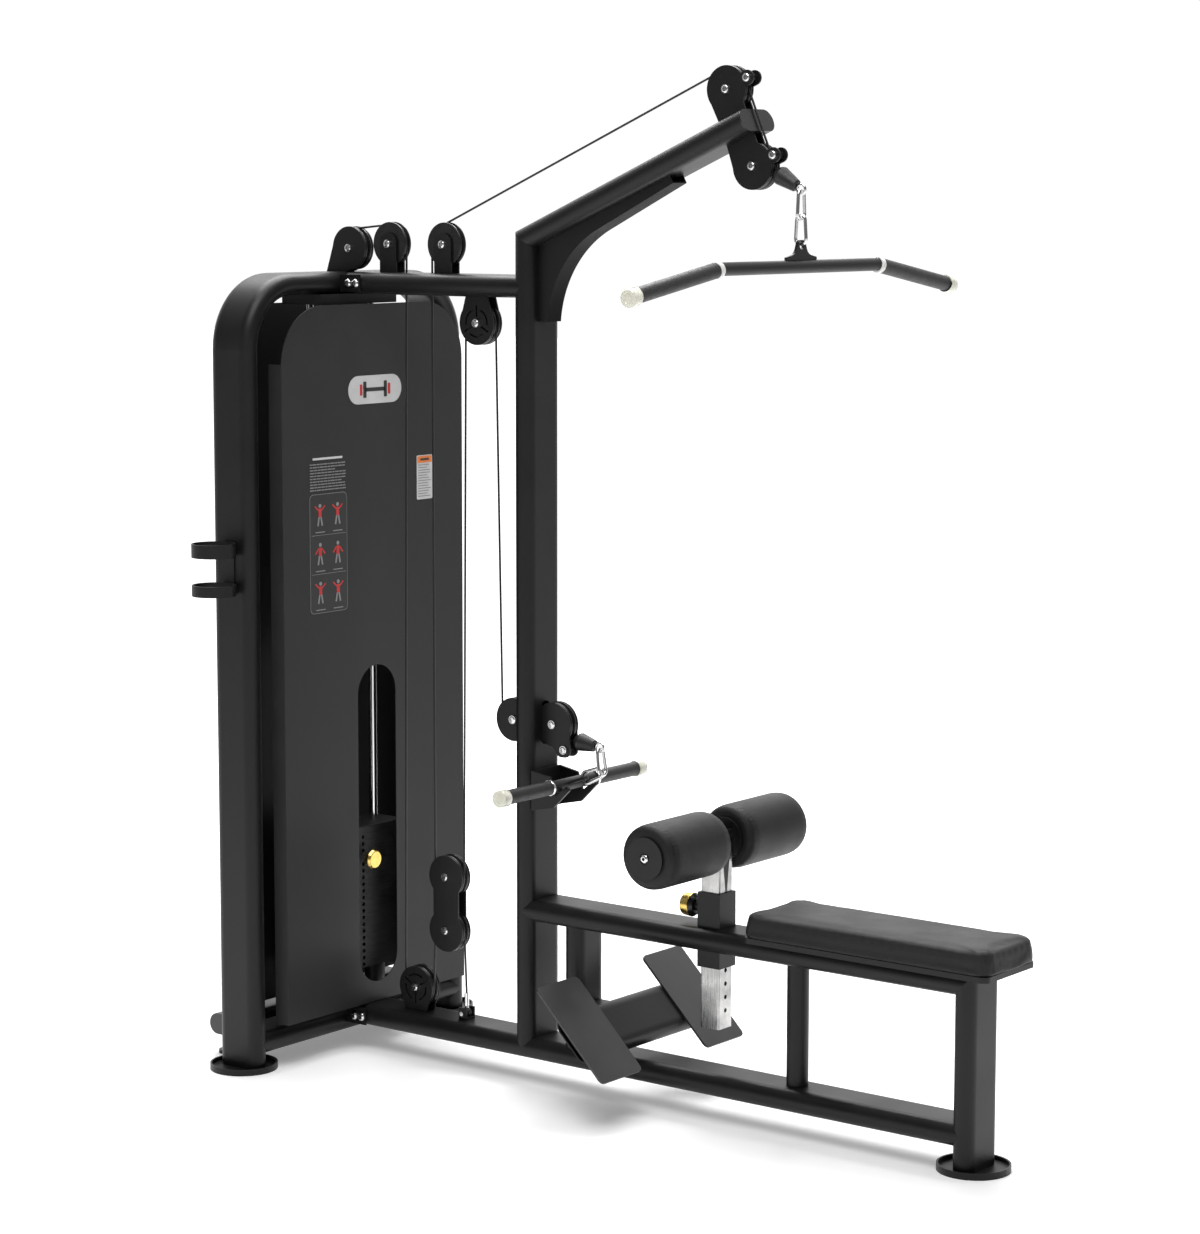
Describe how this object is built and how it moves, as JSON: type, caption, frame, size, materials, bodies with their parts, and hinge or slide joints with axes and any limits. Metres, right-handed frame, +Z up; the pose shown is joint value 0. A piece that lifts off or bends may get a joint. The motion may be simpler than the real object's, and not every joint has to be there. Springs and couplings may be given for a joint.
{
  "type": "lat pulldown and low row machine",
  "caption": "Cable gym machine: a lat pulldown bar on a boom and a low row bar, both from one shrouded weight stack, with a bench seat and thigh rollers.",
  "frame": {"origin": "on the floor under the centre of the overall box", "axes": "+X from the weight tower to the seat, +Y to the left of someone who looks along +X, +Z up"},
  "size_m": [2.0099, 1.2018, 2.2899],
  "materials": {
    "frame_paint": "satin",
    "cover_paint": "satin",
    "foot_paint": "satin",
    "weight_paint": "matte",
    "bright_steel": "polished",
    "wheel_plastic": "matte",
    "cable_jacket": "satin",
    "bar_steel": "satin",
    "grip_rubber": "matte",
    "knob_gold": "satin",
    "roller_foam": "satin",
    "seat_vinyl": "satin"
  },
  "bodies": {
    "frame": {"base_beam": "frame_paint", "block_lower_runs": "cable_jacket", "block_upper_runs": "cable_jacket", "boom": "frame_paint", "boom_brackets": "frame_paint", "boom_cap": "frame_paint", "boom_gusset": "frame_paint", "bottle_holder": "frame_paint", "cable_anchor": "bright_steel", "feet": "frame_paint", "foot_plates": "foot_paint", "foot_rest_frame": "frame_paint", "front_leg": "frame_paint", "front_shroud": "cover_paint", "lat_drop": "cable_jacket", "lift_cable": "cable_jacket", "mast": "frame_paint", "pad_sleeve": "frame_paint", "pull_cable": "cable_jacket", "pulley_brackets": "frame_paint", "pulley_hardware": "bright_steel", "rear_shroud": "cover_paint", "resting_plates": "weight_paint", "rods_and_bumpers": "bright_steel", "row_holder": "frame_paint", "row_run": "cable_jacket", "seat_beam": "frame_paint", "seat_board": "frame_paint", "seat_pad": "seat_vinyl", "stack_drop": "cable_jacket", "support_posts": "frame_paint", "top_beam": "frame_paint", "tower_arch": "frame_paint", "tower_base": "frame_paint", "tower_joints": "frame_paint"},
    "stack": {"lifted_plates": "weight_paint", "head_plate": "weight_paint"},
    "pin": {"selector_pin": "knob_gold"},
    "block": {"floating_block": "frame_paint", "block_wraps": "cable_jacket"},
    "lat": {"lat_bar": "bar_steel", "lat_grips": "grip_rubber", "lat_hanger": "bright_steel"},
    "row": {"row_bar": "bar_steel", "row_hanger": "bright_steel"},
    "pads": {"pad_post": "bright_steel"},
    "catch": {"pop_pin": "knob_gold"},
    "roller_left": {"foam_roller_left": "roller_foam"},
    "roller_right": {"foam_roller_right": "roller_foam"},
    "wheel_a": {"sheave_a": "wheel_plastic"},
    "wheel_b": {"sheave_b": "wheel_plastic"},
    "wheel_bottom": {"sheave_bottom": "wheel_plastic"},
    "wheel_block_lower": {"sheave_block_lower": "wheel_plastic"},
    "wheel_block_upper": {"sheave_block_upper": "wheel_plastic"},
    "wheel_c": {"sheave_c": "wheel_plastic"},
    "wheel_e": {"sheave_e": "wheel_plastic"},
    "wheel_f": {"sheave_f": "wheel_plastic"},
    "wheel_d": {"sheave_d": "wheel_plastic"},
    "wheel_g": {"sheave_g": "wheel_plastic"},
    "wheel_h": {"sheave_h": "wheel_plastic"}
  },
  "joints": [
    {"name": "stack_lift", "type": "slide", "parent": "frame", "child": "stack", "axis": [0, 0, 1], "range_m": [0, 0.75], "deforming": ["stack_drop"]},
    {"name": "pin_pull", "type": "slide", "parent": "stack", "child": "pin", "axis": [-1, 0, 0], "range_m": [-0.078, 0]},
    {"name": "block_lift", "type": "slide", "parent": "frame", "child": "block", "axis": [0, 0, 1], "range_m": [0, 0.375], "deforming": ["block_upper_runs", "block_lower_runs"]},
    {"name": "lat_pull", "type": "slide", "parent": "frame", "child": "lat", "axis": [0, 0, -1], "range_m": [0, 0.75], "deforming": ["lat_drop"]},
    {"name": "row_pull", "type": "slide", "parent": "frame", "child": "row", "axis": [0.766, 0, 0.6428], "range_m": [0, 0.35], "deforming": ["row_run"]},
    {"name": "pad_height", "type": "slide", "parent": "frame", "child": "pads", "axis": [0, 0, 1], "range_m": [-0.035, 0.15]},
    {"name": "catch_pull", "type": "slide", "parent": "frame", "child": "catch", "axis": [-1, 0, 0], "range_m": [0, 0.012], "stiffness_N_per_m": 800},
    {"name": "roller_turn_left", "type": "hinge", "parent": "pads", "child": "roller_left", "pos_m": [0.25745, -0.066, 0.6187], "axis": [0, 1, 0], "continuous": true},
    {"name": "roller_turn_right", "type": "hinge", "parent": "pads", "child": "roller_right", "pos_m": [0.25745, 0.066, 0.6187], "axis": [0, 1, 0], "continuous": true},
    {"name": "wheel_a_turn", "type": "hinge", "parent": "frame", "child": "wheel_a", "pos_m": [-0.79425, 0, 1.894], "axis": [0, 1, 0], "continuous": true},
    {"name": "wheel_b_turn", "type": "hinge", "parent": "frame", "child": "wheel_b", "pos_m": [-0.67325, 0, 1.905], "axis": [0, 1, 0], "continuous": true},
    {"name": "wheel_bottom_turn", "type": "hinge", "parent": "frame", "child": "wheel_bottom", "pos_m": [-0.60225, 0, 0.162], "axis": [0, 1, 0], "continuous": true},
    {"name": "wheel_block_lower_turn", "type": "hinge", "parent": "block", "child": "wheel_block_lower", "pos_m": [-0.50825, 0, 0.311], "axis": [0, 1, 0], "continuous": true},
    {"name": "wheel_block_upper_turn", "type": "hinge", "parent": "block", "child": "wheel_block_upper", "pos_m": [-0.50825, 0, 0.439], "axis": [0, 1, 0], "continuous": true},
    {"name": "wheel_c_turn", "type": "hinge", "parent": "frame", "child": "wheel_c", "pos_m": [-0.50825, 0, 1.905], "axis": [0, 1, 0], "continuous": true},
    {"name": "wheel_e_turn", "type": "hinge", "parent": "frame", "child": "wheel_e", "pos_m": [0.28087, 0, 2.23985], "axis": [0, 1, 0], "continuous": true},
    {"name": "wheel_f_turn", "type": "hinge", "parent": "frame", "child": "wheel_f", "pos_m": [0.34964, 0, 2.07784], "axis": [0, 1, 0], "continuous": true},
    {"name": "wheel_d_turn", "type": "hinge", "parent": "frame", "child": "wheel_d", "pos_m": [-0.40825, 0, 1.729], "axis": [0, 1, 0], "continuous": true},
    {"name": "wheel_g_turn", "type": "hinge", "parent": "frame", "child": "wheel_g", "pos_m": [-0.30325, 0, 0.831], "axis": [0, 1, 0], "continuous": true},
    {"name": "wheel_h_turn", "type": "hinge", "parent": "frame", "child": "wheel_h", "pos_m": [-0.18925, 0, 0.831], "axis": [0, 1, 0], "continuous": true}
  ],
  "couplings": [
    {"joint": "block_lift", "follows": "stack_lift", "ratio": 0.5},
    {"joint": "lat_pull", "follows": "stack_lift", "ratio": 1},
    {"joint": "wheel_a_turn", "follows": "stack_lift", "rad_per_m": 22.727},
    {"joint": "wheel_b_turn", "follows": "stack_lift", "rad_per_m": 22.727},
    {"joint": "wheel_bottom_turn", "follows": "stack_lift", "rad_per_m": -22.727},
    {"joint": "wheel_block_lower_turn", "follows": "stack_lift", "rad_per_m": 11.364},
    {"joint": "wheel_block_upper_turn", "follows": "stack_lift", "rad_per_m": 11.364},
    {"joint": "wheel_c_turn", "follows": "stack_lift", "rad_per_m": 22.727},
    {"joint": "wheel_e_turn", "follows": "stack_lift", "rad_per_m": 22.727},
    {"joint": "wheel_f_turn", "follows": "stack_lift", "rad_per_m": 22.727},
    {"joint": "wheel_d_turn", "follows": "row_pull", "rad_per_m": 22.727},
    {"joint": "wheel_g_turn", "follows": "row_pull", "rad_per_m": -22.727},
    {"joint": "wheel_h_turn", "follows": "row_pull", "rad_per_m": -22.727}
  ]
}
